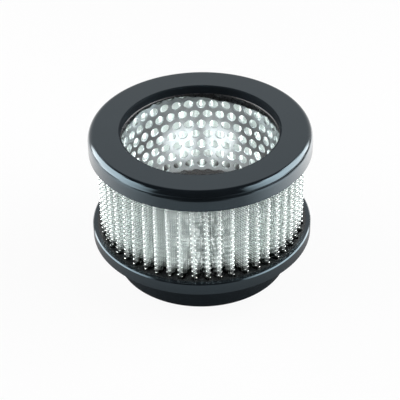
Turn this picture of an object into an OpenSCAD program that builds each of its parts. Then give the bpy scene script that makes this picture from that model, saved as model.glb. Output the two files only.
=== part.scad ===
// Flame arrestor with a clear top: a pleated wire screen round a perforated core tube, held between
// a turned cap and a turned base plate with a neck. All sizes are in millimetres. The origin is the
// centre of the neck's lower end, and +Z points up to the window.

/* [Core tube] */
// Wall of the core tube
core_t = 1; // [0.6:0.1:1.4]
// Diameter of one perforation
hole_d = 4.76; // [3.5:0.02:5]
// Number of perforations in each row
hole_columns = 40; // [30:1:42]
// Height from one row of perforations to the next
hole_row_pitch = 5.95; // [5.4:0.05:8]
// Distance of the first row's centres below the tube's top edge
first_row_drop = 1; // [0.5:0.1:4]
// Direction of the first perforation, seen from above
core_turn = 89; // [0:0.5:360]
// Width of the weld groove along the tube's seam
seam_w = 0.5; // [0.3:0.1:0.8]
// Depth of the weld groove
seam_depth = 0.2; // [0.1:0.05:0.25]

/* [Pleated screens] */
// Number of pleats
pleats = 50; // [40:1:52]
// Radial depth of the pleats, from the inner folds to the tips
pleat_depth = 9.2; // [8:0.1:11]
// Thickness of the coarse outer screen
outer_screen_t = 0.8; // [0.6:0.05:0.9]
// Thickness of the fine inner screen
flame_screen_t = 0.35; // [0.2:0.05:0.45]
// Space between the two screens
screen_gap = 0.05; // [0.02:0.01:0.1]
// Inside radius of the tightest bend
inner_bend = 0.05; // [0.04:0.01:0.15]
// Space between the core tube and the inner folds
core_gap = 0.3; // [0.1:0.05:0.6]
// Height of the screens that shows between the cap and the base plate
screen_open_h = 41.6; // [30:0.1:60]
// Resin beyond the ends of the screens
screen_end_gap = 0.8; // [0.4:0.1:1.2]
// Direction of the first pleat tip, seen from above
pleat_turn = -87.4; // [-180:0.1:180]
// Depth of the grooves between the upright wires
wire_groove = 0.25; // [0.1:0.05:0.3]
// Upright wires that show as ridges on each leg of a pleat
leg_wires = 4; // [2:1:5]
// Width of the gaps between the two wires on a pleat's tip
tip_gap_w = 0.7; // [0.4:0.05:0.8]
// Gaps in the height of each tip
tip_gaps = 2; // [1:1:2]
// Closed height between the gaps and at their ends
tip_gap_bar = 1.4; // [1:0.1:3]

/* [Seam clip] */
// Thickness of the clip's strip
clip_t = 0.5; // [0.3:0.05:0.6]
// Space between the clip and the pleat that it holds
clip_fit = 0.05; // [0.02:0.01:0.1]
// How far the clip's legs reach along the pleat
clip_leg = 2.6; // [1:0.1:3]
// Pleat that the clip closes, counted from the first
clip_pleat = 36; // [0:1:39]

/* [Top cap] */
// Thickness of the cap over the window
cap_web = 4.6; // [4.2:0.1:8]
// Depth of the skirt below that
skirt_h = 5.8; // [4:0.1:10]
// Wall of the skirt
skirt_t = 2.3; // [1.5:0.1:5]
// Space between the pleat tips and the skirt
tip_gap = 1.05; // [0.9:0.05:2]
// Width of the round outer edge
bullnose_w = 3; // [1:0.1:5]
// Height of the round outer edge
bullnose_h = 4.6; // [1:0.1:7]
// Small bevel on the turned edges
edge_break = 0.5; // [0.2:0.1:0.7]

/* [Window] */
// Thickness of the window
window_t = 3; // [1.5:0.1:4]
// Space between the window and the core tube
window_fit = 0.25; // [0.05:0.05:0.5]
// How far the cap reaches over the window's edge
window_ledge = 1.4; // [0.8:0.1:3]
// Height of the sealant bead below the window
seal_h = 0.9; // [0.4:0.1:1.5]
// Width of the sealant bead
seal_w = 1.5; // [0.8:0.1:2.5]

/* [Resin] */
// Thickness of the resin ring under the cap
upper_resin_t = 2.6; // [2:0.1:3.6]
// Depth of the recess for resin in the base plate
resin_recess = 3; // [2.4:0.1:4]
// How far the resin stands below the base plate's top face
resin_drop = 0.1; // [0:0.05:0.5]
// Space between the screens and the resin moulded round them
resin_fit = 0.03; // [0.01:0.01:0.03]

/* [Base plate] */
// Thickness of the base plate
plate_t = 6.4; // [5:0.1:12]
// Metal outside the resin recess
plate_rim = 2.3; // [1.5:0.1:5]
// Lip that stands inside the core tube
lip_t = 1.5; // [1.2:0.1:4]
// Space between the core tube and the lip that centres it
lip_fit = 0.05; // [0.02:0.01:0.2]
// Inner diameter of the neck
neck_bore_d = 76.2; // [60:0.1:95]
// Wall of the neck
neck_t = 3.9; // [2.5:0.1:8]
// Length of the neck below the base plate
neck_h = 16.8; // [8:0.1:40]
// Bevel at the mouth of the neck's bore
mouth_bevel = 1; // [0.5:0.1:1.5]

/* [Hidden] */
$fn = 96;
cut_over = 0.5;
cap_black = [0.05, 0.055, 0.06];
resin_black = [0.03, 0.03, 0.03];
clear = [0.85, 0.9, 0.92, 0.3];
wire = [0.78, 0.79, 0.76];
bright_sheet = [0.7, 0.71, 0.72];

// Radii, from the neck's bore outwards
neck_bore_r = neck_bore_d / 2;
neck_r = neck_bore_r + neck_t;
lip_r = neck_bore_r + lip_t;
core_in_r = lip_r + lip_fit;
core_r = core_in_r + core_t;
window_r = core_in_r - window_fit;
cap_bore_r = window_r - window_ledge;
screen_in_r = core_r + core_gap;
screen_out_r = screen_in_r + pleat_depth;
recess_r = screen_out_r + tip_gap;
cap_r = recess_r + skirt_t;
plate_r = recess_r + plate_rim;

// Heights, from the neck's lower end upwards
plate_z = neck_h;
plate_top_z = plate_z + plate_t;
floor_z = plate_top_z - resin_recess;
lower_resin_z = plate_top_z - resin_drop;
skirt_z = plate_top_z + screen_open_h;
roof_z = skirt_z + skirt_h;
cap_top_z = roof_z + cap_web;
upper_resin_z = roof_z - upper_resin_t;
window_z = roof_z - window_t;
screen_z = floor_z + screen_end_gap;
screen_top_z = roof_z - screen_end_gap;

// Pleats: a tip bend and an inner bend joined by a straight leg
layers_t = outer_screen_t + screen_gap + flame_screen_t;
half_t = layers_t / 2;
fold_r = half_t + inner_bend;
half_step = 180 / pleats;
tip_c = [screen_out_r - fold_r - half_t, 0];
valley_r = screen_in_r + fold_r + half_t;
valley_c = [valley_r * cos(half_step), valley_r * sin(half_step)];
bend_run = valley_c - tip_c;
leg_turn = atan2(bend_run[1], bend_run[0]) + asin(2 * fold_r / norm(bend_run));
square_turn = 90;
tip_end = leg_turn - square_turn;
bend_steps = 4;
tight_steps = 2;
groove_off = half_t - wire_groove;
first_gap_z = lower_resin_z + tip_gap_bar;
gap_h = (upper_resin_z - first_gap_z) / tip_gaps - tip_gap_bar;

// Rows of perforations
core_h = roof_z - floor_z;
hole_rows = floor((core_h - first_row_drop) / hole_row_pitch) + 1;
column_step = 360 / hole_columns;
seam_turn = core_turn + 1.5 * column_step;

function polar(r, a) = [r * cos(a), r * sin(a)];
function blend(a, b, t) = a + (b - a) * t;
function turned(p, a) = [p[0] * cos(a) - p[1] * sin(a), p[0] * sin(a) + p[1] * cos(a)];

// Quarter of an ellipse from the top of an edge down to its side
function round_edge(r, z, w, h, steps) =
    [for (i = [0 : steps]) [r - w + w * sin(90 * i / steps), z - h + h * cos(90 * i / steps)]];

// Arc of a bend, in fewer parts where it is tight
function bend(centre, r, first, last) =
    let (steps = r < half_t ? tight_steps : bend_steps)
        [for (i = [0 : steps]) centre + polar(r, blend(first, last, i / steps))];

// The tip bend of one pleat, offset outwards from the middle of the layers
function tip_bend(off) = bend(tip_c, fold_r + off, -tip_end, tip_end);

// The inner bend that follows it
function valley_bend(off) =
    bend(valley_c, fold_r - off, 180 + tip_end, 180 + 2 * half_step - tip_end);

// The outline of one pleat, repeated all round
function all_round(outline) =
    [for (k = [0 : pleats - 1], p = outline) turned(p, pleat_turn + k * 2 * half_step)];

// Closed outline round all pleats at one offset
function pleat_line(off) = all_round(concat(tip_bend(off), valley_bend(off)));

// Upright wall between a closed outline and an offset of the pleat line
module upright_wall(outline, inner) {
    translate([0, 0, screen_z])
        linear_extrude(screen_top_z - screen_z)
            difference() {
                polygon(outline);
                polygon(pleat_line(inner));
            }
}

// Upright wall between two offsets of the pleat line
module pleat_wall(outer, inner) {
    upright_wall(pleat_line(outer), inner);
}

// The tip bend with a wire on each side of its middle
function wired_tip() =
    [for (i = [0 : bend_steps])
        tip_c + polar(fold_r + (i % 2 == 1 ? half_t : groove_off),
                      blend(-tip_end, tip_end, i / bend_steps))];

// Crowns of the wires, and the grooves between them, along a straight leg
function wired_leg(a, b, out) =
    [for (i = [1 : 2 * leg_wires - 1])
        blend(a, b, i / (2 * leg_wires)) + polar(i % 2 == 1 ? wire_groove : 0, out)];

// One pleat of the outer screen's face, with the leg that leads to the next pleat's tip
function wired_pleat() =
    let (tip = wired_tip(), valley = valley_bend(groove_off), next = turned(tip[0], 2 * half_step))
        concat(tip,
               wired_leg(tip[bend_steps], valley[0], tip_end),
               valley,
               wired_leg(valley[len(valley) - 1], next, 2 * half_step - tip_end));

module ring(r_out, r_in, z, h) {
    translate([0, 0, z])
        rotate_extrude()
            translate([r_in, 0])
                square([r_out - r_in, h]);
}

module top_cap() {
    color(cap_black)
        rotate_extrude()
            polygon(concat(
                [[cap_bore_r, roof_z], [cap_bore_r, cap_top_z - edge_break],
                 [cap_bore_r + edge_break, cap_top_z]],
                round_edge(cap_r, cap_top_z, bullnose_w, bullnose_h, 12),
                [[cap_r, skirt_z + edge_break], [cap_r - edge_break, skirt_z], [recess_r, skirt_z],
                 [recess_r, roof_z]]));
}

module window() {
    color(clear)
        translate([0, 0, window_z])
            cylinder(r = window_r, h = window_t);
}

// Bead with a hollow face, from the window's underside to the core tube's wall
module window_seal() {
    steps = 6;
    color(resin_black)
        rotate_extrude()
            polygon(concat(
                [[core_in_r, window_z]],
                [for (i = [0 : steps])
                    [core_in_r - seal_w * (1 - sin(90 * i / steps)),
                     window_z - seal_h * (1 - cos(90 * i / steps))]]));
}

// Woven screen: upright wires as ridges, and gaps between the two wires on each tip
module outer_screen() {
    color(wire)
        difference() {
            upright_wall(all_round(wired_pleat()), half_t - outer_screen_t);
            for (k = [0 : pleats - 1], level = [0 : tip_gaps - 1])
                rotate(pleat_turn + k * 2 * half_step)
                    translate([tip_c[0], -tip_gap_w / 2, first_gap_z + level * (gap_h + tip_gap_bar)])
                        cube([2 * layers_t, tip_gap_w, gap_h]);
        }
}

module flame_screen() {
    color(wire)
        pleat_wall(flame_screen_t - half_t, -half_t);
}

// Outline of the seam clip's face at one offset from the pleat that it holds
function clip_face(off) =
    concat([tip_c + polar(fold_r + off, -tip_end) + polar(clip_leg, -leg_turn)],
           tip_bend(off),
           [tip_c + polar(fold_r + off, tip_end) + polar(clip_leg, leg_turn)]);

module seam_clip() {
    inner = half_t + clip_fit;
    outline = clip_face(inner + clip_t);
    hollow = clip_face(inner);
    color(bright_sheet)
        translate([0, 0, lower_resin_z])
            linear_extrude(upper_resin_z - lower_resin_z)
                rotate(pleat_turn + clip_pleat * 2 * half_step)
                    polygon(concat(outline, [for (i = [len(hollow) - 1 : -1 : 0]) hollow[i]]));
}

// Ring of resin that meets the core tube and holds the screens' ends
module resin_ring(z, h) {
    color(resin_black)
        difference() {
            ring(recess_r, core_r, z, h);
            pleat_wall(half_t + resin_fit, -half_t - resin_fit);
        }
}

module upper_resin() resin_ring(upper_resin_z, upper_resin_t);

module lower_resin() resin_ring(floor_z, lower_resin_z - floor_z);

module core_tube() {
    color(bright_sheet)
        difference() {
            ring(core_r, core_in_r, floor_z, core_h);
            for (row = [0 : hole_rows - 1], column = [0 : hole_columns - 1])
                rotate(core_turn + (column + (row % 2 == 0 ? 0.5 : 0)) * column_step)
                    translate([core_in_r - core_t, 0, roof_z - first_row_drop - row * hole_row_pitch])
                        rotate([0, 90, 0])
                            cylinder(d = hole_d, h = 3 * core_t);
            for (r = [core_r, core_in_r])
                rotate(seam_turn)
                    translate([r - seam_depth, -seam_w / 2, floor_z - cut_over])
                        cube([2 * seam_depth, seam_w, core_h + 2 * cut_over]);
        }
}

module base_plate() {
    color(cap_black)
        rotate_extrude()
            polygon([
                [neck_bore_r + mouth_bevel, 0], [neck_bore_r, mouth_bevel],
                [neck_bore_r, plate_top_z - edge_break], [neck_bore_r + edge_break, plate_top_z],
                [lip_r, plate_top_z], [lip_r, floor_z],
                [recess_r, floor_z], [recess_r, plate_top_z],
                [plate_r - edge_break, plate_top_z], [plate_r, plate_top_z - edge_break],
                [plate_r, plate_z + edge_break], [plate_r - edge_break, plate_z],
                [neck_r, plate_z], [neck_r, edge_break], [neck_r - edge_break, 0]]);
}

top_cap();
window();
window_seal();
upper_resin();
outer_screen();
flame_screen();
seam_clip();
core_tube();
lower_resin();
base_plate();
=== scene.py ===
"""Looks of a small round flame arrestor with a clear top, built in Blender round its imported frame."""

import logging
import math
import random
from dataclasses import dataclass, field
from enum import Enum

import bmesh
import bpy
import numpy as np
from mathutils import Matrix, Vector


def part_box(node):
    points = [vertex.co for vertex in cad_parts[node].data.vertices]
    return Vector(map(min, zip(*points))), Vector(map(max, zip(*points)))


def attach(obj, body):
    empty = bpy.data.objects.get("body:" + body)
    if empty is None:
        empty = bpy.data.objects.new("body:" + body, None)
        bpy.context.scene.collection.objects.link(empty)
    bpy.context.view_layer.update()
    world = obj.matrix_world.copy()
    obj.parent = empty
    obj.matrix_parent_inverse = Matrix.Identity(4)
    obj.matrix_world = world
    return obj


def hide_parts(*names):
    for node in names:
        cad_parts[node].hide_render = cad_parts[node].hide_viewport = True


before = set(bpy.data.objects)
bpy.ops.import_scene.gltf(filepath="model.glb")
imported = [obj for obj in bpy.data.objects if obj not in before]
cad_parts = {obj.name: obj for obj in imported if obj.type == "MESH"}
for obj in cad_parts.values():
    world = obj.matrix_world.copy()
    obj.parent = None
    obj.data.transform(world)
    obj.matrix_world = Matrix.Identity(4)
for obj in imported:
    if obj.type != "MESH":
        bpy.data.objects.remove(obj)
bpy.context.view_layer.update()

LOG = logging.getLogger("flame_arrestor")
MM = 0.001
Colour = tuple[float, float, float]


class Side(Enum):
    """A side of the part, with its sign along X."""

    LEFT = -1
    RIGHT = 1


def box_of(node: str) -> tuple[Vector, Vector]:
    """Lowest and highest corner of one node of the frame, in metres."""
    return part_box(node)


def polar(radius: float, angle: float) -> np.ndarray:
    """Point at a radius and an angle in radians, as an array of two numbers."""
    return np.array([math.cos(angle), math.sin(angle)]) * radius


class Graph:
    """A material's node tree, with short ways to add and join its nodes."""

    def __init__(self, name: str, world: bpy.types.World | None = None) -> None:
        """Starts an empty tree for a new material, or for a world."""
        self.material = world or bpy.data.materials.new(name)
        self.material.use_nodes = True
        self.tree = self.material.node_tree
        self.tree.nodes.clear()

    def add(self, kind: str, **settings: object) -> bpy.types.Node:
        """Adds a node.

        Args:
            kind: the node's type, without the ShaderNode prefix.
            settings: the node's properties.

        Returns:
            The new node.
        """
        node = self.tree.nodes.new("ShaderNode" + kind)
        for key, value in settings.items():
            setattr(node, key, value)
        return node

    def join(self, source: bpy.types.NodeSocket, target: bpy.types.NodeSocket) -> None:
        """Links one socket to another."""
        self.tree.links.new(source, target)

    def feed(self, node: bpy.types.Node, socket: str | int, value: object) -> None:
        """Sets an input to a number, a colour or another node's output."""
        if isinstance(value, bpy.types.NodeSocket):
            self.join(value, node.inputs[socket])
        else:
            node.inputs[socket].default_value = value

    def maths(self, operation: str, *values: object) -> bpy.types.NodeSocket:
        """A Math node's result for the given inputs."""
        node = self.add("Math", operation=operation)
        for index, value in enumerate(values):
            self.feed(node, index, value)
        return node.outputs[0]

    def place(self) -> bpy.types.NodeSocket:
        """The point on the surface in the part's own frame, in metres."""
        return self.add("TexCoord").outputs["Object"]

    def scaled(self, stretch: Colour) -> bpy.types.NodeSocket:
        """The surface point with each axis multiplied by a number."""
        node = self.add("Mapping")
        self.join(self.place(), node.inputs["Vector"])
        node.inputs["Scale"].default_value = stretch
        return node.outputs["Vector"]

    def noise(self, scale: float, detail: float = 3.0, roughness: float = 0.55,
              point: bpy.types.NodeSocket | None = None) -> bpy.types.NodeSocket:
        """Adds noise between 0 and 1.

        Args:
            scale: waves a metre.
            detail: how many finer layers are added.
            roughness: how strong the finer layers are.
            point: the place that is looked up, or None for the surface point.

        Returns:
            The noise's socket.
        """
        node = self.add("TexNoise")
        self.join(point or self.place(), node.inputs["Vector"])
        node.inputs["Scale"].default_value = scale
        node.inputs["Detail"].default_value = detail
        node.inputs["Roughness"].default_value = roughness
        return node.outputs["Fac"]

    def radius(self) -> bpy.types.NodeSocket:
        """Distance of the surface point from the part's axis."""
        split = self.add("SeparateXYZ")
        self.join(self.place(), split.inputs[0])
        squares = [self.maths("MULTIPLY", split.outputs[i], split.outputs[i]) for i in (0, 1)]
        return self.maths("SQRT", self.maths("ADD", *squares))

    def uneven_height(self, swing: float = 4.0 * MM) -> bpy.types.NodeSocket:
        """Height of the surface point in metres, with clouds that add up to the swing."""
        split = self.add("SeparateXYZ")
        self.join(self.place(), split.inputs[0])
        return self.maths("ADD", split.outputs[2], self.maths("MULTIPLY", self.noise(240.0, 3.0), swing))

    def spread(self, value: bpy.types.NodeSocket, low: float, high: float, start: float = 0.0,
               end: float = 1.0, kind: str = "LINEAR") -> bpy.types.NodeSocket:
        """Maps a value from one span to another, and clamps it.

        Args:
            value: the number's socket.
            low: the value that becomes start.
            high: the value that becomes end.
            start: result at low.
            end: result at high.
            kind: Blender's name for the way between them.

        Returns:
            The result's socket.
        """
        node = self.add("MapRange", clamp=True, interpolation_type=kind)
        for socket, number in zip(("From Min", "From Max", "To Min", "To Max"), (low, high, start, end)):
            node.inputs[socket].default_value = number
        self.join(value, node.inputs["Value"])
        return node.outputs["Result"]

    def shades(self, factor: bpy.types.NodeSocket, dark: Colour, light: Colour) -> bpy.types.NodeSocket:
        """Mixes two colours.

        Args:
            factor: 0 for the dark one and 1 for the light one.
            dark: the first colour.
            light: the second colour.

        Returns:
            The colour's socket.
        """
        node = self.add("Mix", data_type="RGBA")
        self.join(factor, node.inputs["Factor"])
        node.inputs["A"].default_value = (*dark, 1)
        node.inputs["B"].default_value = (*light, 1)
        return node.outputs["Result"]

    def bump(self, height: bpy.types.NodeSocket, depth: float, strength: float = 1.0,
             below: bpy.types.NodeSocket | None = None) -> bpy.types.NodeSocket:
        """A bumped normal.

        Args:
            height: the height, from 0 to 1.
            depth: what a height of 1 stands for, in metres.
            strength: the share of the effect that is used.
            below: the normal that this one is laid over.

        Returns:
            The normal's socket.
        """
        node = self.add("Bump")
        node.inputs["Strength"].default_value = strength
        node.inputs["Distance"].default_value = depth
        self.join(height, node.inputs["Height"])
        if below is not None:
            self.join(below, node.inputs["Normal"])
        return node.outputs["Normal"]

    def principled(self, **values: object) -> bpy.types.Node:
        """A Principled shader with its inputs set or linked; a space in an input's name is an underscore."""
        node = self.add("BsdfPrincipled")
        for key, value in values.items():
            if isinstance(value, tuple) and len(value) == 3:
                value = (*value, 1)
            self.feed(node, key.replace("_", " "), value)
        return node

    def finish(self, shader: bpy.types.NodeSocket) -> bpy.types.Material:
        """Joins the shader to the output and returns the material."""
        self.join(shader, self.add("OutputMaterial").inputs["Surface"])
        return self.material


@dataclass(frozen=True)
class BlackAnodised:
    """Gloss black anodised aluminium that was turned on a lathe, duller inside its bore."""

    name: str = "black_anodised"
    dark: Colour = (0.0022, 0.0030, 0.0040)
    light: Colour = (0.0040, 0.0054, 0.0070)
    tint: Colour = (0.64, 0.87, 1.0)
    roughness: tuple[float, float] = (0.09, 0.15)
    bore_roughness: float = 0.7
    groove_pitch: float = 0.22 * MM
    groove_depth: float = 0.0006 * MM
    bore_radius: float = 38.7 * MM

    def build(self) -> bpy.types.Material:
        """Makes the material."""
        g = Graph(self.name)
        cloud = g.noise(90.0, 4.0)
        grooves = g.maths("SINE", g.maths("MULTIPLY", g.radius(), math.tau / self.groove_pitch))
        height = g.maths("ADD", g.maths("MULTIPLY", grooves, 0.5), g.noise(5200.0, 2.0))
        smear = g.noise(1.0, 4.0, 0.6, g.scaled((240.0, 60.0, 240.0)))
        gloss = g.spread(smear, 0.35, 0.7, *self.roughness)
        bore = g.maths("LESS_THAN", g.radius(), self.bore_radius)
        shader = g.principled(
            Base_Color=g.shades(cloud, self.dark, self.light),
            Roughness=g.maths("MAXIMUM", gloss, g.maths("MULTIPLY", bore, self.bore_roughness)),
            Specular_IOR_Level=g.spread(bore, 0.0, 1.0, 0.5, 0.06),
            IOR=1.56,
            Specular_Tint=self.tint,
            Normal=g.bump(height, self.groove_depth, 0.6),
        )
        return g.finish(shader.outputs[0])


@dataclass(frozen=True)
class BlackResin:
    """Cast black resin with a slightly uneven, glossy surface."""

    dark: Colour = (0.004, 0.005, 0.005)
    light: Colour = (0.012, 0.014, 0.015)

    def build(self) -> bpy.types.Material:
        """Makes the material."""
        g = Graph("black_resin")
        swell = g.noise(260.0, 2.0)
        specks = g.noise(2600.0, 2.0)
        normal = g.bump(swell, 0.25 * MM, 0.35)
        shader = g.principled(
            Base_Color=g.shades(specks, self.dark, self.light),
            Roughness=g.spread(swell, 0.3, 0.7, 0.16, 0.34),
            Normal=g.bump(specks, 0.02 * MM, 0.3, normal),
        )
        return g.finish(shader.outputs[0])


@dataclass(frozen=True)
class BlackSealant:
    """Squeezed bead of black sealant."""

    dark: Colour = (0.004, 0.004, 0.005)
    light: Colour = (0.011, 0.011, 0.012)

    def build(self) -> bpy.types.Material:
        """Makes the material."""
        g = Graph("black_sealant")
        lumps = g.noise(900.0, 3.0)
        shader = g.principled(
            Base_Color=g.shades(g.noise(3000.0), self.dark, self.light),
            Roughness=g.spread(lumps, 0.3, 0.7, 0.2, 0.42),
            Normal=g.bump(lumps, 0.12 * MM, 0.5),
        )
        return g.finish(shader.outputs[0])


@dataclass(frozen=True)
class BrightWire:
    """Drawn stainless wire: its own bright colour where it stands out of the weave.

    Deep in the crossings it is darkened by painted shade, and near the resin that the screens stand in that
    painted shade is near black.
    """

    name: str = "bright_wire"
    # painted shade: near-black colour of the wire just above the resin, where the weave lies in shade
    base_shade_colour: Colour = (0.03, 0.036, 0.034)
    # painted shade: the duller colour the wire gets deep in the crossings, where the weave shades it
    crossing_shade_colour: Colour = (0.52, 0.56, 0.55)
    resin_low: float = 0.0
    # heights over the resin between which the painted shade near the resin fades out
    shade_rise: tuple[float, float] = (3.5 * MM, 9.5 * MM)
    dark: Colour = (0.84, 0.88, 0.87)
    light: Colour = (0.94, 0.98, 0.97)
    roughness: tuple[float, float] = (0.13, 0.26)
    # how far a corner stands out, over which the crossings' painted shade gives way to the wire's own colour
    unshaded_span: tuple[float, float] = (0.7, 0.9)

    def build(self) -> bpy.types.Material:
        """Makes the material."""
        g = Graph(self.name)
        cloud = g.noise(420.0, 4.0, 0.65)
        lines = g.noise(9000.0, 2.0)
        split = g.add("SeparateXYZ")
        g.join(g.add("UVMap", uv_map="cloth").outputs["UV"], split.inputs[0])
        crown = g.spread(split.outputs[0], *self.unshaded_span)
        bright = g.shades(g.spread(cloud, 0.3, 0.62), self.dark, self.light)
        # heights where the painted shade near the resin fades out
        low, high = (self.resin_low + rise for rise in self.shade_rise)
        # painted shade: mixes from the shaded colour in the dips to the wire's own colour on the crowns
        crown_shade_mix = g.add("Mix", data_type="RGBA")
        g.join(crown, crown_shade_mix.inputs["Factor"])
        # painted shade: near black just above the resin, fading to the crossings' painted shade higher up
        film = g.shades(g.spread(g.uneven_height(), low, high), self.base_shade_colour, self.crossing_shade_colour)
        g.join(film, crown_shade_mix.inputs["A"])
        g.join(bright, crown_shade_mix.inputs["B"])
        shader = g.principled(
            Base_Color=crown_shade_mix.outputs["Result"],
            Metallic=1.0,
            Roughness=g.spread(g.noise(1500.0), 0.3, 0.7, *self.roughness),
            Normal=g.bump(lines, 0.01 * MM, 0.4),
        )
        return g.finish(shader.outputs[0])


@dataclass(frozen=True)
class FineCloth:
    """Fine woven wire cloth: wires as bump and colour, with see-through openings between them."""

    pitch: float = 0.62 * MM
    dark: Colour = (0.74, 0.78, 0.77)
    light: Colour = (0.93, 0.97, 0.96)
    opening: float = 0.87
    resin_low: float = 0.0
    # heights over the resin between which the cloth's painted shade fades out
    shade_rise: tuple[float, float] = (2.4 * MM, 5.0 * MM)
    # radii over which the painted shade near the resin comes in, strongest towards the outer folds
    base_shade_radius: tuple[float, float] = (41.5 * MM, 44.0 * MM)
    # painted shade: the near-black colours of the cloth just above the resin, where it lies in shade
    base_shade_dark: Colour = (0.006, 0.008, 0.008)
    base_shade_light: Colour = (0.02, 0.024, 0.023)

    def wires(self, g: Graph, along: bpy.types.NodeSocket) -> bpy.types.NodeSocket:
        """Height of one set of wires, 1 on their crowns and 0 between them."""
        turns = g.maths("MULTIPLY", along, math.pi / self.pitch)
        return g.maths("ABSOLUTE", g.maths("SINE", turns))

    def build(self) -> bpy.types.Material:
        """Makes the material."""
        g = Graph("fine_wire_cloth")
        split = g.add("SeparateXYZ")
        g.join(g.add("UVMap", uv_map="cloth").outputs["UV"], split.inputs[0])
        sets = [self.wires(g, split.outputs[i]) for i in (0, 1)]
        height = g.maths("MAXIMUM", *sets)
        film = g.noise(500.0, 4.0, 0.65)
        shader = g.principled(
            Base_Color=g.shades(g.maths("MULTIPLY", height, film), self.dark, self.light),
            Metallic=1.0,
            Roughness=g.spread(film, 0.3, 0.7, 0.5, 0.65),
            Normal=g.bump(height, 0.12 * MM, 0.5),
        )
        gap = g.maths("LESS_THAN", height, self.opening)
        mix = g.add("MixShader")
        g.join(gap, mix.inputs["Fac"])
        g.join(shader.outputs[0], mix.inputs[1])
        g.join(g.add("BsdfTransparent").outputs[0], mix.inputs[2])
        # painted shade: a dark, duller shader for the cloth near the resin
        base_shade_shader = g.principled(Base_Color=g.shades(film, self.base_shade_dark, self.base_shade_light),
                              Roughness=0.4, Normal=g.bump(height, 0.08 * MM, 0.6))
        low, high = (self.resin_low + rise for rise in self.shade_rise)
        # painted shade: full near the resin at the outer folds, gone higher up
        base_shade_mix = g.add("MixShader")
        outer = g.spread(g.radius(), *self.base_shade_radius)
        reach = g.spread(g.uneven_height(), low, high, 1.0, 0.0)
        g.join(g.maths("MULTIPLY", reach, outer), base_shade_mix.inputs["Fac"])
        g.join(mix.outputs[0], base_shade_mix.inputs[1])
        g.join(base_shade_shader.outputs[0], base_shade_mix.inputs[2])
        return g.finish(base_shade_mix.outputs[0])


@dataclass(frozen=True)
class RolledSheet:
    """Bright rolled stainless sheet: a clear gloss under a thin frosting, with the grain round the tube."""

    name: str
    dark: Colour = (0.56, 0.60, 0.62)
    light: Colour = (0.76, 0.80, 0.82)
    roughness: tuple[float, float] = (0.12, 0.2)
    frost_roughness: float = 0.42
    frost_share: float = 0.34

    def build(self) -> bpy.types.Material:
        """Makes the material."""
        g = Graph(self.name)
        grain = g.noise(1.0, 4.0, 0.7, g.scaled((160.0, 160.0, 5200.0)))
        film = g.noise(140.0, 4.0, 0.6)
        colour = g.shades(g.spread(film, 0.3, 0.7), self.dark, self.light)
        normal = g.bump(grain, 0.004 * MM, 0.5)
        gloss = g.principled(Base_Color=colour, Metallic=1.0, Normal=normal,
                             Roughness=g.spread(grain, 0.3, 0.7, *self.roughness))
        frost = g.principled(Base_Color=colour, Metallic=1.0, Normal=normal, Roughness=self.frost_roughness)
        mix = g.add("MixShader")
        mix.inputs["Fac"].default_value = self.frost_share
        g.join(gloss.outputs[0], mix.inputs[1])
        g.join(frost.outputs[0], mix.inputs[2])
        return g.finish(mix.outputs[0])


@dataclass(frozen=True)
class ClearPane:
    """Clear polished plastic: reflects by its angle and lets the rest of the light through."""

    tint: Colour = (0.965, 0.985, 0.98)
    scratch_roughness: float = 0.09

    def build(self) -> bpy.types.Material:
        """Makes the material."""
        g = Graph("clear_window")
        scratches = g.noise(1.0, 5.0, 0.75, g.scaled((900.0, 60.0, 60.0)))
        dust = g.noise(2400.0, 2.0)
        marks = g.maths("MULTIPLY", g.spread(scratches, 0.62, 0.72), g.spread(dust, 0.45, 0.7))
        gloss = g.add("BsdfGlossy")
        gloss.inputs["Color"].default_value = (1, 1, 1, 1)
        g.join(g.spread(marks, 0.0, 1.0, 0.015, self.scratch_roughness), gloss.inputs["Roughness"])
        g.join(g.bump(marks, 0.004 * MM, 0.5), gloss.inputs["Normal"])
        clear = g.add("BsdfTransparent")
        clear.inputs["Color"].default_value = (*self.tint, 1)
        fresnel = g.add("Fresnel")
        fresnel.inputs["IOR"].default_value = 1.5
        outside = g.maths("SUBTRACT", 1.0, g.add("NewGeometry").outputs["Backfacing"])
        mix = g.add("MixShader")
        g.join(g.maths("MULTIPLY", fresnel.outputs[0], outside), mix.inputs["Fac"])
        g.join(clear.outputs[0], mix.inputs[1])
        g.join(gloss.outputs[0], mix.inputs[2])
        return g.finish(mix.outputs[0])


def mesh_piece(name: str, points: np.ndarray, quads: np.ndarray, material: bpy.types.Material,
               uvs: np.ndarray | None = None) -> bpy.types.Object:
    """Makes a smooth mesh of four-sided faces that rides on the part's one body.

    Args:
        name: the piece's name.
        points: corners, one row of three numbers each, in metres.
        quads: faces, one row of four corner numbers each.
        material: its finish.
        uvs: place of each corner of each face along the cloth, or None.

    Returns:
        The new object.
    """
    mesh = bpy.data.meshes.new(name)
    mesh.vertices.add(len(points))
    mesh.vertices.foreach_set("co", np.ascontiguousarray(points, np.float32).ravel())
    mesh.loops.add(quads.size)
    mesh.loops.foreach_set("vertex_index", np.ascontiguousarray(quads, np.int32).ravel())
    mesh.polygons.add(len(quads))
    mesh.polygons.foreach_set("loop_start", np.arange(0, quads.size, 4, dtype=np.int32))
    mesh.polygons.foreach_set("use_smooth", np.ones(len(quads), bool))
    mesh.update(calc_edges=True)
    if uvs is not None:
        layer = mesh.uv_layers.new(name="cloth")
        layer.data.foreach_set("uv", np.ascontiguousarray(uvs, np.float32).ravel())
    mesh.validate()
    mesh.materials.append(material)
    piece = bpy.data.objects.new(name, mesh)
    bpy.context.scene.collection.objects.link(piece)
    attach(piece, "root")
    LOG.info("%s: %d faces", name, len(quads))
    return piece


def tube_quads(rings: int, sides: int, closed: bool) -> np.ndarray:
    """Faces of a tube of rings of corners, numbered ring by ring."""
    ring = np.arange(rings if closed else rings - 1)[:, None]
    side = np.arange(sides)[None, :]
    after = (ring + 1) % rings
    beside = (side + 1) % sides
    return np.stack([ring * sides + side, ring * sides + beside, after * sides + beside,
                     after * sides + side], -1).reshape(-1, 4)


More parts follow.
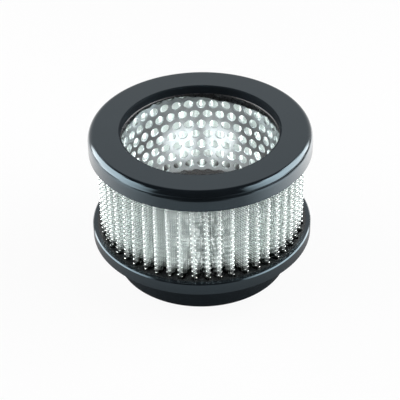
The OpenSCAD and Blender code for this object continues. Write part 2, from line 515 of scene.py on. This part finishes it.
@dataclass
class PleatLine:
    """The middle line of the folded screens, with the small unevenness of folding by hand.

    Sizes are those of the part: the bends' middle radius, the tips' and inner bends' centres and the count.
    """

    count: int = 50
    first_turn: float = math.radians(-87.4)
    outer_radius: float = 0.0
    inner_radius: float = 0.0
    layers: float = 1.2 * MM
    inner_bend: float = 0.05 * MM
    bend_parts: int = 10
    leg_parts: int = 10
    sway: float = math.radians(0.75)
    lean: float = math.radians(0.55)
    pull: float = 0.35 * MM
    lines: list[np.ndarray] = field(default_factory=list)

    def __post_init__(self) -> None:
        """Works out the line at the lower and the upper end of the screens."""
        self.fold = self.layers / 2 + self.inner_bend
        self.step = math.tau / self.count
        draw = random.Random(41)
        sways = [draw.uniform(-self.sway, self.sway) for _ in range(self.count)]
        pulls = [draw.uniform(-self.pull, 0.0) for _ in range(self.count)]
        dips = [draw.uniform(-self.sway, self.sway) * 0.7 for _ in range(self.count)]
        leans = [draw.uniform(-self.lean, self.lean) for _ in range(self.count)]
        for sign in (-1, 1):
            turns = [s + sign * lean for s, lean in zip(sways, leans)]
            self.lines.append(self.outline(turns, pulls, dips))

    def outline(self, turns: list[float], pulls: list[float], dips: list[float]) -> np.ndarray:
        """Closed line of points and outward directions.

        Args:
            turns: extra turn of each tip, in radians.
            pulls: extra radius of each tip, in metres.
            dips: extra turn of each inner bend, in radians.

        Returns:
            One row of x, y, outward x and outward y for each point.
        """
        tip_radius = self.outer_radius - self.fold - self.layers / 2
        valley_radius = self.inner_radius + self.fold + self.layers / 2
        at = [self.first_turn + k * self.step for k in range(self.count)]
        tips = [polar(tip_radius + pulls[k], at[k] + turns[k]) for k in range(self.count)]
        valleys = [polar(valley_radius, at[k] + self.step / 2 + dips[k]) for k in range(self.count)]
        rows: list[tuple[float, ...]] = []
        for k in range(self.count):
            before, tip, valley = valleys[k - 1], tips[k], valleys[k]
            following = tips[(k + 1) % self.count]
            start = self.heading(tip, before, -1) + math.pi / 2
            end = self.heading(tip, valley, 1) - math.pi / 2
            rows += self.arc(tip, start, start + (end - start) % math.tau, 1)
            leave = self.heading(tip, valley, 1) + math.pi / 2
            arrive = self.heading(following, valley, -1) - math.pi / 2
            rows += self.leg(rows[-1], self.arc(valley, leave, leave - (leave - arrive) % math.tau, -1)[0])
            rows += self.arc(valley, leave, leave - (leave - arrive) % math.tau, -1)
            next_valley_start = self.heading(following, valley, -1) + math.pi / 2
            rows += self.leg(rows[-1], self.arc(following, next_valley_start, next_valley_start, 1)[0])
        return np.array(rows)

    def heading(self, tip: np.ndarray, valley: np.ndarray, way: int) -> float:
        """Direction of the straight leg from a tip to an inner bend that crosses between their circles."""
        run = valley - tip
        lean = math.asin(2 * self.fold / math.hypot(*run))
        return math.atan2(run[1], run[0]) + way * lean

    def arc(self, centre: np.ndarray, start: float, end: float, side: int) -> list[tuple[float, ...]]:
        """Points round one bend; side is 1 on a tip and -1 on an inner bend."""
        rows = []
        for i in range(self.bend_parts + 1):
            out = polar(1.0, start + (end - start) * i / self.bend_parts)
            rows.append((*(centre + out * self.fold), *(out * side)))
        return rows

    def leg(self, first: tuple[float, ...], last: tuple[float, ...]) -> list[tuple[float, ...]]:
        """Points strictly between the two ends of one straight leg."""
        a, b = np.array(first), np.array(last)
        return [tuple(a + (b - a) * i / self.leg_parts) for i in range(1, self.leg_parts)]

    def lengths(self, off: float) -> np.ndarray:
        """Distance along the lower line, moved outwards by a distance, at each point and at its end."""
        closed = np.vstack([self.lines[0], self.lines[0][:1]])
        closed = closed[:, :2] + closed[:, 2:] * off
        return np.concatenate([[0.0], np.cumsum(np.hypot(*np.diff(closed, axis=0).T))])

    def tip_middle(self, off: float) -> float:
        """Distance along the moved line from its start to the middle of the first tip."""
        return self.lengths(off)[self.bend_parts] / 2

    def sample(self, distances: np.ndarray, off: float) -> tuple[np.ndarray, np.ndarray]:
        """Looks up both lines.

        Args:
            distances: how far along the lower line, moved outwards, in metres.
            off: how far it is moved, in metres.

        Returns:
            Rows of the lower and of the upper line, one for each distance.
        """
        along = self.lengths(off)
        index = np.interp(distances, along, np.arange(len(along)))
        low = np.floor(index).astype(int)
        part = (index - low)[:, None]
        found = []
        for line in self.lines:
            rows = len(line)
            mixed = line[low % rows] * (1 - part) + line[(low + 1) % rows] * part
            mixed[:, 2:] /= np.hypot(mixed[:, 2], mixed[:, 3])[:, None]
            found.append(mixed)
        return found[0], found[1]


@dataclass
class CoarseScreen:
    """The outer screen as real wires in a plain weave, folded along the pleats."""

    line: PleatLine
    low: float
    high: float
    wire: float = 0.4 * MM
    weft_share: float = 1.15
    warp_share: float = 0.75
    weft_swing: float = 0.7
    warp_swing: float = 0.2
    row_pitch: float = 1.34 * MM
    middle: float = 0.3 * MM
    uprights_per_pleat: int = 10
    parts_per_crossing: int = 2
    sides: int = 6
    weft_pieces: int = 3
    warp_pieces: int = 3
    drift: float = 0.12

    def __post_init__(self) -> None:
        """Works out how many wires there are each way."""
        total = self.line.lengths(self.middle)[-1]
        self.uprights = self.uprights_per_pleat * self.line.count
        self.step = total / self.uprights
        self.rows = int((self.high - self.low) / self.row_pitch)
        self.heights = self.low + (np.arange(self.rows) + 0.5) * (self.high - self.low) / self.rows
        self.swing = self.wire * self.weft_swing
        self.angles = np.arange(self.sides) * math.tau / self.sides

    def distance(self, order: np.ndarray) -> np.ndarray:
        """Distance along the pleats of an upright, by its order, with a slow drift of the spacing."""
        turn = order / self.uprights * math.tau
        wander = np.sin(turn * 3 + 0.6) + 0.6 * np.sin(turn * 7 + 2.0) + 0.35 * np.sin(turn * 19 + 1.1)
        return self.line.tip_middle(self.middle) + (order + 0.5 + self.drift * wander) * self.step

    def rows_at(self, order: np.ndarray) -> tuple[np.ndarray, np.ndarray]:
        """Lower and upper points of the pleat line at the uprights' places."""
        total = self.uprights * self.step
        return self.line.sample(self.distance(order) % total, self.middle)

    def share(self, z: np.ndarray) -> np.ndarray:
        """How far up the screens each height is, from 0 to 1."""
        return (z - self.low) / (self.high - self.low)

    def weft(self, material: bpy.types.Material) -> list[bpy.types.Object]:
        """The wires that run round the part, over and under the uprights."""
        order = np.arange(self.uprights * self.parts_per_crossing) / self.parts_per_crossing
        low, high = self.rows_at(order)
        wave = np.cos(math.pi * order)
        made = []
        for piece in range(self.weft_pieces):
            points, quads, crowns = [], [], []
            for row in range(piece, self.rows, self.weft_pieces):
                z = self.heights[row]
                at = low + (high - low) * self.share(z)
                out = at[:, 2:] / np.hypot(at[:, 2], at[:, 3])[:, None]
                reach = self.middle + self.swing * wave * (-1 if row % 2 else 1)
                thick = self.wire * self.weft_share
                ring = reach[:, None] + np.cos(self.angles)[None, :] * thick / 2
                flat = at[:, None, :2] + out[:, None, :] * ring[:, :, None]
                lift = np.broadcast_to(z + np.sin(self.angles) * thick / 2, ring.shape)
                quads.append(tube_quads(len(order), self.sides, True) + sum(len(p) for p in points))
                points.append(np.concatenate([flat, lift[:, :, None]], -1).reshape(-1, 3))
                crowns.append(ring.ravel())
            name = f"outer_screen_weft_{piece + 1}"
            made.append(self.piece(name, points, quads, crowns, material))
        return made

    def piece(self, name: str, points: list[np.ndarray], quads: list[np.ndarray], reaches: list[np.ndarray],
              material: bpy.types.Material) -> bpy.types.Object:
        """Makes a set of wires.

        Args:
            name: the piece's name.
            points: each wire's corners.
            quads: each wire's faces.
            reaches: how far each corner stands out from the pleats' middle line, in metres.
            material: the finish, which is told from 0 to 1 how far out of the weave a corner stands.

        Returns:
            The new object.
        """
        most = self.swing + self.wire * self.weft_share / 2
        # the finish paints shade in the weave's dips from this value, and keeps the wire's own colour on the
        # crowns
        stand = 0.5 + 0.5 * (np.concatenate(reaches) - self.middle) / most
        faces = np.vstack(quads)
        uvs = np.stack([stand[faces], np.zeros(faces.shape)], -1)
        return mesh_piece(name, np.vstack(points), faces, material, uvs)

    def warp_path(self) -> tuple[np.ndarray, np.ndarray]:
        """Heights of an upright's rings, and how far each is pushed to one side of the weave."""
        crossing = np.arange(self.rows * 2 - 1) / 2
        step = (self.high - self.low) / self.rows
        heights = np.concatenate([[self.low], self.heights[0] + crossing * step, [self.high]])
        swing = np.concatenate([[0.0], -np.cos(math.pi * crossing), [0.0]])
        return heights, swing

    def warp(self, material: bpy.types.Material) -> list[bpy.types.Object]:
        """The upright wires, bent the other way round each weft wire."""
        low, high = self.rows_at(np.arange(self.uprights))
        heights, swing = self.warp_path()
        made = []
        for piece in range(self.warp_pieces):
            points, quads, crowns = [], [], []
            first = piece * self.uprights // self.warp_pieces
            last = (piece + 1) * self.uprights // self.warp_pieces
            for wire in range(first, last):
                at = low[wire] + (high[wire] - low[wire]) * self.share(heights)[:, None]
                out = at[:, 2:] / np.hypot(at[:, 2], at[:, 3])[:, None]
                beside = np.stack([-out[:, 1], out[:, 0]], -1)
                reach = self.middle + self.wire * self.warp_swing * swing * (-1 if wire % 2 else 1)
                centre = at[:, :2] + out * reach[:, None]
                ring = centre[:, None, :] + (out[:, None, :] * np.cos(self.angles)[None, :, None]
                                             + beside[:, None, :] * np.sin(self.angles)[None, :, None]
                                             ) * self.wire * self.warp_share / 2
                lift = np.broadcast_to(heights[:, None, None], (*ring.shape[:2], 1))
                quads.append(tube_quads(len(heights), self.sides, False) + sum(len(p) for p in points))
                points.append(np.concatenate([ring, lift], -1).reshape(-1, 3))
                outward = np.cos(self.angles)[None, :] * self.wire * self.warp_share / 2
                crowns.append((reach[:, None] + outward).ravel())
            name = f"outer_screen_warp_{piece + 1}"
            made.append(self.piece(name, points, quads, crowns, material))
        return made

    def build(self) -> list[bpy.types.Object]:
        """Makes both sets of wires in place of the frame's wall, and returns them."""
        material = BrightWire(resin_low=self.low).build()
        pieces = self.weft(material) + self.warp(material)
        for piece in pieces:
            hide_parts("outer_screen")
        return pieces


@dataclass
class FlameScreen:
    """The fine inner screen: one closed, folded sheet nested inside the coarse wires."""

    line: PleatLine
    low: float
    high: float
    middle: float = -0.44 * MM
    thickness: float = 0.2 * MM
    station: float = 0.45 * MM
    rows: int = 6

    def build(self) -> bpy.types.Object:
        """Makes the sheet in place of the frame's wall, and returns it."""
        total = self.line.lengths(self.middle)[-1]
        count = int(total / self.station)
        places = np.arange(count) * total / count
        low, high = self.line.sample(places, self.middle)
        heights = np.linspace(self.low, self.high, self.rows + 1)
        faces = (self.middle + self.thickness / 2, self.middle - self.thickness / 2)
        loop = [(faces[0], z) for z in heights] + [(faces[1], z) for z in heights[::-1]]
        points = []
        for off, z in loop:
            at = low + (high - low) * (z - self.low) / (self.high - self.low)
            out = at[:, 2:] / np.hypot(at[:, 2], at[:, 3])[:, None]
            flat = at[:, :2] + out * off
            points.append(np.concatenate([flat, np.full((count, 1), z)], -1))
        rings = np.stack(points, 1)
        quads = tube_quads(count, len(loop), True)
        station = quads // len(loop)
        closing = (station == 0) & (station[:, :1] == count - 1)
        along = np.append(places, total)[np.where(closing, count, station)]
        level = np.array([z for _, z in loop])[quads % len(loop)]
        uvs = np.stack([along, level], -1)
        piece = mesh_piece("flame_screen_cloth", rings.reshape(-1, 3), quads,
                           FineCloth(resin_low=self.low).build(), uvs)
        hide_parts("flame_screen")
        return piece


@dataclass
class SealBead:
    """Black sealant: a skin between the window's edge and the tube, with a bead below it, and a fillet above.

    The skin's lower edge is uneven and leaves bits of the tube's top row of holes open.
    """

    tube: float
    window: float
    window_low: float
    window_high: float
    cap_bore: float
    bead: float = 1.3 * MM
    drop: float = 0.9 * MM
    rise: float = 1.0 * MM
    fillet: float = 0.45 * MM
    around: int = 720
    across: int = 8
    open_side: float = math.radians(112)
    open_spread: float = math.radians(24)
    waves: tuple[tuple[int, float, float], ...] = (
        (7, 0.20, 0.4), (13, 0.17, 2.1), (29, 0.15, 0.9), (47, 0.12, 3.0), (83, 0.10, 1.3))

    def edge(self, turn: np.ndarray) -> np.ndarray:
        """Height of the sealant's lower edge round the part, over the window's underside."""
        rough = sum(part * np.sin(count * turn + shift) for count, part, shift in self.waves)
        away = np.abs((turn - self.open_side + math.pi) % math.tau - math.pi)
        opened = np.clip(1.5 - away / self.open_spread, 0.0, 1.0)
        return -self.drop * (0.8 + 0.3 * rough) + opened * (self.rise + self.drop) * (0.9 + 0.5 * rough)

    def skin(self, turn: np.ndarray) -> np.ndarray:
        """Rings of the skin and its bead, down from the window's upper edge."""
        low = np.minimum(self.edge(turn), self.rise * 1.4)
        rings = []
        for level in (self.window_high, self.window_low + self.rise * 1.6):
            rings.append(self.ring(turn, self.window + 0 * turn, level + 0 * turn))
        bulge = np.clip(-low / self.drop, 0.05, 1.0)
        for angle in np.linspace(0, math.pi / 2, self.across):
            reach = self.window - self.bead * bulge * math.cos(angle)
            under = self.window_low + np.minimum(low, low * math.sin(angle))
            over = self.window_low + low
            z = np.where(low < 0, under, over)
            rings.append(self.ring(turn, np.where(low < 0, reach, self.window + 0 * turn), z))
        rings.append(self.ring(turn, self.tube + 0 * turn, self.window_low + low))
        rings.append(self.ring(turn, self.tube + 0 * turn, self.window_high + 0 * turn))
        return np.stack(rings, 1)

    def ring(self, turn: np.ndarray, radius: np.ndarray, z: np.ndarray) -> np.ndarray:
        """Points round the part at a radius and a height for each turn."""
        return np.stack([radius * np.cos(turn), radius * np.sin(turn), z], -1)

    def corner(self, turn: np.ndarray) -> np.ndarray:
        """Rings of the small fillet between the cap's bore and the window's upper face."""
        rings = [self.ring(turn, self.cap_bore + 0 * turn, self.window_high + 0 * turn)]
        for angle in np.linspace(0, math.pi / 2, self.across):
            reach = self.cap_bore - self.fillet * (1 - math.sin(angle))
            z = self.window_high + self.fillet * (1 - math.cos(angle))
            rings.append(self.ring(turn, reach + 0 * turn, z + 0 * turn))
        return np.stack(rings, 1)

    def build(self) -> None:
        """Makes the sealant in place of the frame's plain bead."""
        turn = np.arange(self.around) * math.tau / self.around
        points, quads = [], []
        for rings in (self.skin(turn), self.corner(turn)):
            quads.append(tube_quads(self.around, rings.shape[1], True) + sum(len(p) for p in points))
            points.append(rings.reshape(-1, 3))
        piece = mesh_piece("window_seal_bead", np.vstack(points), np.vstack(quads), BlackSealant().build())
        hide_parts("window_seal")


@dataclass
class TurnedBodies:
    """The solids that the frame already gives in their true form, which only need their finish."""

    def dress(self, node: str, material: bpy.types.Material) -> None:
        """Puts one finish on a node of the frame."""
        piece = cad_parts[node]
        piece.data.materials.clear()
        piece.data.materials.append(material)
        LOG.info("%s: dressed with %s", node, material.name)

    def build(self) -> None:
        """Dresses every solid that stays as it is."""
        black = BlackAnodised().build()
        resin = BlackResin().build()
        self.dress("top_cap", black)
        self.dress("base_plate", black)
        self.dress("window", ClearPane().build())
        self.dress("upper_resin", resin)
        self.dress("lower_resin", resin)
        self.dress("core_tube", RolledSheet("perforated_sheet").build())
        clip = RolledSheet("clip_strip", (0.20, 0.22, 0.23), (0.30, 0.32, 0.33), (0.34, 0.48))
        self.dress("seam_clip", clip.build())


@dataclass(frozen=True)
class LightSheet:
    """A flat glowing panel with soft borders, seen in reflections but not by the camera."""

    name: str
    centre: tuple[float, float, float]
    across: tuple[float, float, float]
    upward: tuple[float, float, float]
    radiance: float
    borders: tuple[float, float, float, float] = (0.1, 0.1, 0.1, 0.1)

    def group(self, kind: str, members: tuple[bpy.types.Object, ...]) -> bpy.types.Collection:
        """A collection of pieces for the panel's light linking."""
        made = bpy.data.collections.new(f"{self.name}_{kind}")
        for member in members:
            made.objects.link(member)
        return made

    def build(self, lit: tuple[bpy.types.Object, ...] = (),
              shaded_by: tuple[bpy.types.Object, ...] = ()) -> bpy.types.Object:
        """Makes the panel: across and upward are its whole sides, and borders are shares of them.

        Args:
            lit: the only pieces that the panel lights, or none for all of them.
            shaded_by: the only pieces that shade the panel's light, or none for all of them.

        Returns:
            The new panel.
        """
        g = Graph(self.name)
        split = g.add("SeparateXYZ")
        g.join(g.place(), split.inputs[0])
        glow: bpy.types.NodeSocket | None = None
        for axis, (start, end) in enumerate((self.borders[:2], self.borders[2:])):
            place = split.outputs[axis]
            for low, high in ((-0.5, -0.5 + start), (0.5, 0.5 - end)):
                edge = g.spread(place, low, high)
                glow = edge if glow is None else g.maths("MULTIPLY", glow, edge)
        lamp = g.add("Emission")
        g.join(g.maths("MULTIPLY", glow, self.radiance), lamp.inputs["Strength"])
        both = g.add("AddShader")
        g.join(lamp.outputs[0], both.inputs[0])
        g.join(g.add("BsdfTransparent").outputs[0], both.inputs[1])
        mesh = bpy.data.meshes.new(self.name)
        mesh.from_pydata([(-0.5, -0.5, 0), (0.5, -0.5, 0), (0.5, 0.5, 0), (-0.5, 0.5, 0)], [], [(0, 1, 2, 3)])
        mesh.materials.append(g.finish(both.outputs[0]))
        piece = bpy.data.objects.new(self.name, mesh)
        across, upward = Vector(self.across), Vector(self.upward)
        axes = Matrix((across, upward, across.cross(upward).normalized())).transposed().to_4x4()
        piece.matrix_world = Matrix.Translation(self.centre) @ axes
        piece.visible_camera = False
        piece.visible_shadow = False
        bpy.context.scene.collection.objects.link(piece)
        if lit:
            piece.light_linking.receiver_collection = self.group("lights", lit)
        if shaded_by:
            piece.light_linking.blocker_collection = self.group("shades", shaded_by)
        return piece


@dataclass
class Studio:
    """Floor, light panels, world and camera of the set."""

    unit: float = 53.04 * MM
    elevation: float = math.radians(35.87)
    roll: float = 0.0196
    distance: float = 13.9988
    focal: float = 1568.24
    offset: tuple[float, float] = (0.0007, 0.6416)
    picture: int = 400
    sensor: float = 36.0
    floor_size: float = 4.0
    floor_colour: Colour = (0.38, 0.38, 0.38)
    white_share: float = 0.92
    shade_fade: tuple[float, float] = (0.054, 0.088)
    shade_radii: tuple[float, float] = (0.001, 0.092)
    shade_share: float = 0.86
    lobe_centre: tuple[float, float, float] = (0.0255, -0.0195, 0.0012)
    lobe_radiance: float = 2.1
    neck_radiance: float = 0.22
    inner_radiance: float = 10.5
    top_radiance: float = 8.5
    box_radiance: float = 10.0

    def camera(self) -> None:
        """Places the camera at the photograph's viewing angle, from the centre of the cap's top face."""
        target = Vector((0, 0, box_of("top_cap")[1].z))
        tilt = self.elevation
        right, up = Vector((1, 0, 0)), Vector((0, math.sin(tilt), math.cos(tilt)))
        ahead = Vector((0, math.cos(tilt), -math.sin(tilt)))
        turn, lean = math.cos(self.roll), math.sin(self.roll)
        across = right * turn - up * lean
        upward = right * lean + up * turn
        back = -across * self.offset[0] - upward * self.offset[1] - ahead * self.distance
        place = target + back * self.unit
        data = bpy.data.cameras.new("camera")
        data.sensor_width = self.sensor
        data.lens = self.focal * self.sensor / self.picture
        data.clip_start = 0.01
        camera = bpy.data.objects.new("camera", data)
        axes = Matrix((across, upward, -ahead)).transposed().to_4x4()
        camera.matrix_world = Matrix.Translation(place) @ axes
        bpy.context.scene.collection.objects.link(camera)
        bpy.context.scene.camera = camera

    def sheet(self, name: str, corners: list[tuple[float, float, float]], material: bpy.types.Material,
              ) -> bpy.types.Object:
        """A flat four-cornered stage piece."""
        mesh = bpy.data.meshes.new(name)
        mesh.from_pydata(corners, [], [(0, 1, 2, 3)])
        mesh.materials.append(material)
        piece = bpy.data.objects.new(name, mesh)
        bpy.context.scene.collection.objects.link(piece)
        return piece

    def seen(self, g: Graph) -> bpy.types.NodeSocket:
        """1 for the rays that see the white background: the camera's, reflected and transmitted ones."""
        path = g.add("LightPath")
        mirrored = g.maths("MAXIMUM", path.outputs["Is Glossy Ray"], path.outputs["Is Transmission Ray"])
        return g.maths("MAXIMUM", path.outputs["Is Camera Ray"], mirrored)

    def backlight(self, g: Graph, direction: bpy.types.NodeSocket) -> bpy.types.NodeSocket:
        """Share of white in a direction: nearly all of it behind the part, little in front and overhead."""
        split = g.add("SeparateXYZ")
        g.join(direction, split.inputs[0])
        behind = g.spread(split.outputs["Y"], 0.25, 0.5, kind="SMOOTHSTEP")
        beneath = g.spread(split.outputs["Z"], 0.66, 0.8, 1.0, 0.0, kind="SMOOTHSTEP")
        return g.spread(g.maths("MULTIPLY", behind, beneath), 0.0, 1.0, 0.05, 0.92)

    def floor(self) -> None:
        """A pale floor that shows white to the camera and in reflections, and keeps the shadow."""
        g = Graph("floor")
        diffuse = g.add("BsdfDiffuse")
        diffuse.inputs["Color"].default_value = (*self.floor_colour, 1)
        glow = g.add("Emission")
        glow.inputs["Color"].default_value = (1, 1, 1, 1)
        mix = g.add("MixShader")
        g.join(g.maths("MULTIPLY", self.seen(g), self.white_share), mix.inputs["Fac"])
        g.join(diffuse.outputs[0], mix.inputs[1])
        g.join(glow.outputs[0], mix.inputs[2])
        half = self.floor_size / 2
        corners = [(-half, -half, 0), (half, -half, 0), (half, half, 0), (-half, half, 0)]
        self.sheet("floor", corners, g.finish(mix.outputs[0]))

    def dark_hood(self) -> None:
        """A dark cloth in front of the part and over it, seen only in reflections, thinning out behind."""
        g = Graph("dark_hood")
        direction = g.add("VectorMath", operation="NORMALIZE")
        g.join(g.place(), direction.inputs[0])
        dark = g.add("BsdfDiffuse")
        dark.inputs["Color"].default_value = (0, 0, 0, 1)
        mix = g.add("MixShader")
        g.join(self.backlight(g, direction.outputs[0]), mix.inputs["Fac"])
        g.join(dark.outputs[0], mix.inputs[1])
        g.join(g.add("BsdfTransparent").outputs[0], mix.inputs[2])
        ball = bmesh.new()
        bmesh.ops.create_uvsphere(ball, u_segments=48, v_segments=24, radius=3.0)
        mesh = bpy.data.meshes.new("dark_hood")
        ball.to_mesh(mesh)
        ball.free()
        mesh.materials.append(g.finish(mix.outputs[0]))
        hood = bpy.data.objects.new("dark_hood", mesh)
        bpy.context.scene.collection.objects.link(hood)
        hood.visible_camera = False
        hood.visible_diffuse = False
        hood.visible_transmission = False
        hood.visible_shadow = False

    def dark_cards(self) -> None:
        """Dark cards on the floor in front and at the right, seen only in reflections."""
        g = Graph("dark_card")
        shader = g.principled(Base_Color=(0.01, 0.01, 0.01), Roughness=0.8)
        material = g.finish(shader.outputs[0])
        lift = 0.002
        spans = {"front_card": (-0.45, -1.6, 0.45, -0.155), "right_card": (0.26, -0.5, 0.5, 0.3)}
        for name, (left, near, right, far) in spans.items():
            corners = [(left, near, lift), (right, near, lift), (right, far, lift), (left, far, lift)]
            card = self.sheet(name, corners, material)
            card.visible_camera = False
            card.visible_diffuse = False
            card.visible_shadow = False

    def neck_shade(self) -> None:
        """A dark round card on the floor under the neck, which keeps the shade there in reflections."""
        g = Graph("neck_shade")
        shade = g.spread(g.radius(), *self.shade_fade, 1.0, 0.0)
        dark = g.add("BsdfDiffuse")
        dark.inputs["Color"].default_value = (0.05, 0.05, 0.05, 1)
        mix = g.add("MixShader")
        g.join(g.maths("MULTIPLY", shade, self.shade_share), mix.inputs["Fac"])
        g.join(g.add("BsdfTransparent").outputs[0], mix.inputs[1])
        g.join(dark.outputs[0], mix.inputs[2])
        ring_points, faces, around = [], [], 48
        for radius in self.shade_radii:
            ring_points += [(*polar(radius, math.tau * i / around), 0.0005) for i in range(around)]
        for i in range(around):
            beside = (i + 1) % around
            faces.append((i, beside, around + beside, around + i))
        mesh = bpy.data.meshes.new("neck_shade")
        mesh.from_pydata(ring_points, [], faces)
        mesh.materials.append(g.finish(mix.outputs[0]))
        ring = bpy.data.objects.new("neck_shade", mesh)
        bpy.context.scene.collection.objects.link(ring)
        ring.visible_camera = False
        ring.visible_diffuse = False
        ring.visible_shadow = False

    def world(self) -> None:
        """White all round for the camera and reflections; its light comes from behind."""
        world = bpy.data.worlds.new("world")
        world.use_nodes = True
        g = Graph("world", world)
        level = self.backlight(g, g.add("TexCoord").outputs["Generated"])
        background = g.add("Background")
        background.inputs["Color"].default_value = (1, 1, 1, 1)
        g.join(g.maths("MAXIMUM", level, self.seen(g)), background.inputs["Strength"])
        g.join(background.outputs[0], g.add("OutputWorld").inputs["Surface"])
        bpy.context.scene.world = world

    def fill(self, wires: tuple[bpy.types.Object, ...], sheets: tuple[bpy.types.Object, ...]) -> None:
        """Fill light inside the part, for its screens and its perforated tube alone."""
        pane = (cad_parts["window"],)
        LightSheet("inner_fill", (0, 0.004, 0.037), (-0.056, 0, 0), (0, 0, 0.056), self.inner_radiance).build(
            wires, shaded_by=pane)
        LightSheet("top_fill", (0, -0.1, 0.45), (0.7, 0, 0), (0, 0.5, 0), self.top_radiance).build(wires)
        out, near, lift = self.lobe_centre
        for side in Side:
            LightSheet("lobe_pad", (side.value * out, near, lift), (0.045, 0, 0), (0, 0.037, 0),
                       self.lobe_radiance, (0.14, 0.14, 0.14, 0.14)).build(sheets)
        LightSheet("neck_pad", (0, 0, 0.001), (0.074, 0, 0), (0, 0.074, 0), self.neck_radiance).build(sheets)

    def build(self) -> None:
        """Sets the stage, but for the lights."""
        bpy.context.scene.view_settings.view_transform = "Standard"
        self.camera()
        self.floor()
        self.dark_cards()
        self.neck_shade()
        self.dark_hood()
        self.world()

    def lights(self) -> None:
        """Two large panels at the sides, and two low ones under the black parts' edges."""
        LightSheet("left_box", (-0.5, -0.06, 0.28), (0, 0.96, 0), (0, 0, 0.56), self.box_radiance,
                   (0.5, 0.1, 0.02, 0.1)).build()
        LightSheet("right_box", (0.5, -0.1, 0.40), (0, 1.04, 0), (0, 0, 0.7), self.box_radiance,
                   (0.5, 0.1, 0.05, 0.1)).build()
        black = (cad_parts["top_cap"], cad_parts["base_plate"])
        LightSheet("left_pad", (-0.22, 0.0, 0.001), (0.28, 0, 0), (0, 0.5, 0), 1.85,
                   (0.02, 0.4, 0.35, 0.3)).build(black)
        LightSheet("right_pad", (0.165, 0.0, 0.001), (0.17, 0, 0), (0, 0.5, 0), 2.75,
                   (0.5, 0.02, 0.35, 0.3)).build(black)


def main() -> None:
    """Builds the whole scene in order."""
    logging.basicConfig(level=logging.INFO, format="%(message)s")
    studio = Studio()
    studio.build()
    TurnedBodies().build()
    screen = box_of("outer_screen")
    core = box_of("core_tube")
    resin_top = box_of("lower_resin")[1].z
    resin_under = box_of("upper_resin")[0].z
    core_gap = 0.3 * MM
    window_ledge = 1.4 * MM
    line = PleatLine(outer_radius=screen[1].x, inner_radius=core[1].x + core_gap)
    wires = CoarseScreen(line, resin_top, resin_under).build()
    cloth = FlameScreen(line, resin_top, resin_under).build()
    studio.lights()
    studio.fill((*wires, cloth), (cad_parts["core_tube"],))
    pane = box_of("window")
    tube_inside = box_of("window_seal")[1].x
    SealBead(tube_inside, pane[1].x, pane[0].z, pane[1].z, pane[1].x - window_ledge).build()


if __name__ == "__main__":
    main()
